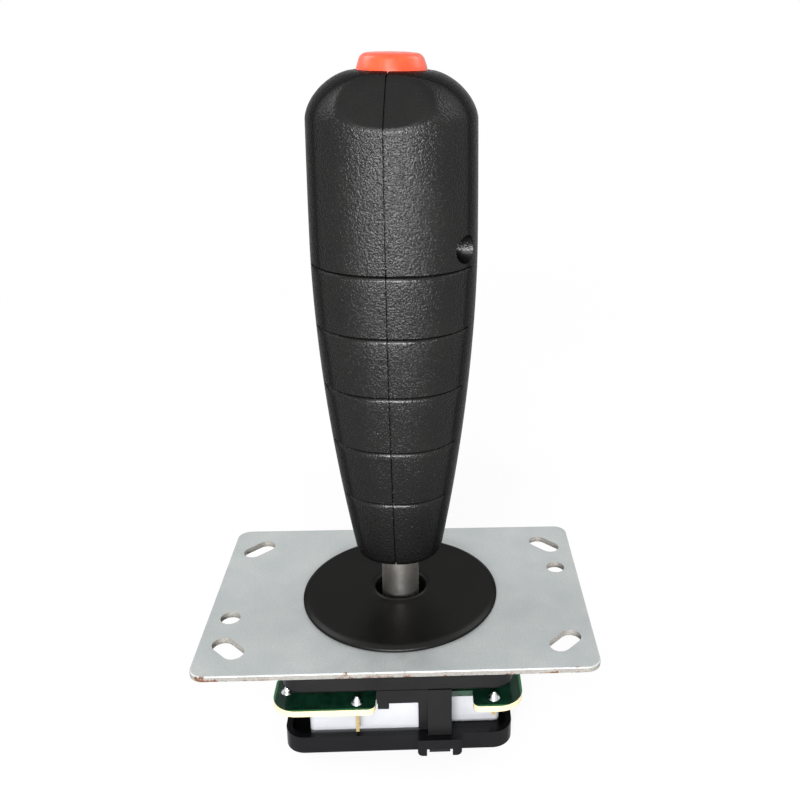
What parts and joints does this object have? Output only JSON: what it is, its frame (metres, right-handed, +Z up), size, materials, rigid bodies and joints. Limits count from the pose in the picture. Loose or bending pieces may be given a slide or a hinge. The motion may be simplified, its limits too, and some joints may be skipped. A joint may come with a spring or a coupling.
{
  "type": "arcade flight stick joystick",
  "caption": "Arcade lever with a moulded flight grip and thumb button, on a steel panel plate over a sprung switch base with a gate.",
  "frame": {"origin": "on the lever's axis, in the top face of the mounting plate", "axes": "+Z up along the lever at rest, +X to the player's right, -Y towards the player"},
  "size_m": [0.097, 0.065, 0.1646],
  "materials": {
    "plate_steel": "zinc plated sheet, satin, a little rust on the cut edges",
    "screw_steel": "zinc plated",
    "washer_black": "fine satin",
    "base_black": "satin moulding",
    "gate_black": "satin moulding",
    "board_green": "solder-resist green with a bare laminate edge",
    "solder": "bright solder",
    "connector_white": "natural nylon",
    "contact_brass": "tinned brass strip",
    "switch_grey": "moulded switch case",
    "lever_steel": "turned bright steel",
    "ball_white": "self-lubricating moulding",
    "actuator_black": "satin moulding",
    "spring_steel": "spring wire and strip",
    "grip_black": "moulded leather grain",
    "small_switch_black": "moulded switch case",
    "button_orange": "smooth semi-gloss moulding",
    "plunger_plastic": "moulded"
  },
  "bodies": {
    "base": {"mounting_plate": "plate_steel", "plate_screws": "screw_steel", "dust_washer": "washer_black", "base_body": "base_black", "restrictor_gate": "gate_black", "switch_board": "board_green", "solder_joints": "solder", "board_connector": "connector_white", "connector_pins": "contact_brass", "switch_case_front": "switch_grey", "switch_case_right": "switch_grey", "switch_case_back": "switch_grey", "switch_case_left": "switch_grey", "switch_covers": "switch_grey", "switch_terminals": "contact_brass"},
    "spring_carrier": {"spring_collar": "actuator_black", "centring_spring": "spring_steel"},
    "lever": {"lever_shaft": "lever_steel", "pivot_ball": "ball_white", "actuator": "actuator_black", "retaining_clip": "spring_steel", "grip_left": "grip_black", "grip_right": "grip_black", "grip_screws": "screw_steel", "shaft_cross_pin": "lever_steel", "top_button_spring": "spring_steel", "top_switch_case": "small_switch_black", "trigger_pin": "lever_steel", "trigger_switch_case": "small_switch_black", "grip_switch_terminals": "contact_brass"},
    "button": {"top_button": "button_orange"},
    "top_plunger": {"top_switch_plunger": "plunger_plastic"},
    "trigger": {"trigger": "button_orange"},
    "trigger_plunger": {"trigger_switch_plunger": "plunger_plastic"},
    "plunger_front": {"switch_plunger_front": "plunger_plastic"},
    "plunger_right": {"switch_plunger_right": "plunger_plastic"},
    "plunger_back": {"switch_plunger_back": "plunger_plastic"},
    "plunger_left": {"switch_plunger_left": "plunger_plastic"}
  },
  "joints": [
    {"name": "tilt_fore_aft", "type": "hinge", "parent": "base", "child": "spring_carrier", "pos_m": [0, 0, -0.006], "axis": [1, 0, 0], "range_deg": [-7.8, 7.8], "stiffness_Nm_per_rad": 1.8},
    {"name": "tilt_sideways", "type": "hinge", "parent": "spring_carrier", "child": "lever", "pos_m": [0, 0, -0.006], "axis": [0, 1, 0], "range_deg": [-7.8, 7.8], "stiffness_Nm_per_rad": 1.8, "deforming": ["centring_spring"]},
    {"name": "button_press", "type": "slide", "parent": "lever", "child": "button", "axis": [0, 0, -1], "range_m": [0, 0.0025], "stiffness_N_per_m": 500, "springref_m": -0.002, "deforming": ["top_button_spring"]},
    {"name": "top_plunger_slide", "type": "slide", "parent": "lever", "child": "top_plunger", "axis": [0, 0, -1], "range_m": [0, 0.00101]},
    {"name": "trigger_pull", "type": "hinge", "parent": "lever", "child": "trigger", "pos_m": [0.00091, 0.01297, 0.115], "axis": [-0.9976, 0.0698, 0], "range_deg": [0, 7], "stiffness_Nm_per_rad": 0.25, "springref_deg": -5.73},
    {"name": "trigger_plunger_slide", "type": "slide", "parent": "lever", "child": "trigger_plunger", "axis": [-0.0698, -0.9976, 0], "range_m": [0, 0.00106]},
    {"name": "plunger_front_slide", "type": "slide", "parent": "base", "child": "plunger_front", "axis": [0, -1, 0], "range_m": [-0.00101, 0.00101]},
    {"name": "plunger_right_slide", "type": "slide", "parent": "base", "child": "plunger_right", "axis": [1, 0, 0], "range_m": [-0.00101, 0.00101]},
    {"name": "plunger_back_slide", "type": "slide", "parent": "base", "child": "plunger_back", "axis": [0, 1, 0], "range_m": [-0.00101, 0.00101]},
    {"name": "plunger_left_slide", "type": "slide", "parent": "base", "child": "plunger_left", "axis": [-1, 0, 0], "range_m": [-0.00101, 0.00101]}
  ],
  "couplings": [
    {"joint": "plunger_front_slide", "follows": "tilt_fore_aft", "m_per_rad": -0.0073456},
    {"joint": "plunger_back_slide", "follows": "tilt_fore_aft", "m_per_rad": 0.0073456},
    {"joint": "plunger_left_slide", "follows": "tilt_sideways", "m_per_rad": 0.0073456},
    {"joint": "plunger_right_slide", "follows": "tilt_sideways", "m_per_rad": -0.0073456},
    {"joint": "top_plunger_slide", "follows": "button_press", "ratio": 0.4},
    {"joint": "trigger_plunger_slide", "follows": "trigger_pull", "m_per_rad": 0.0081851}
  ]
}
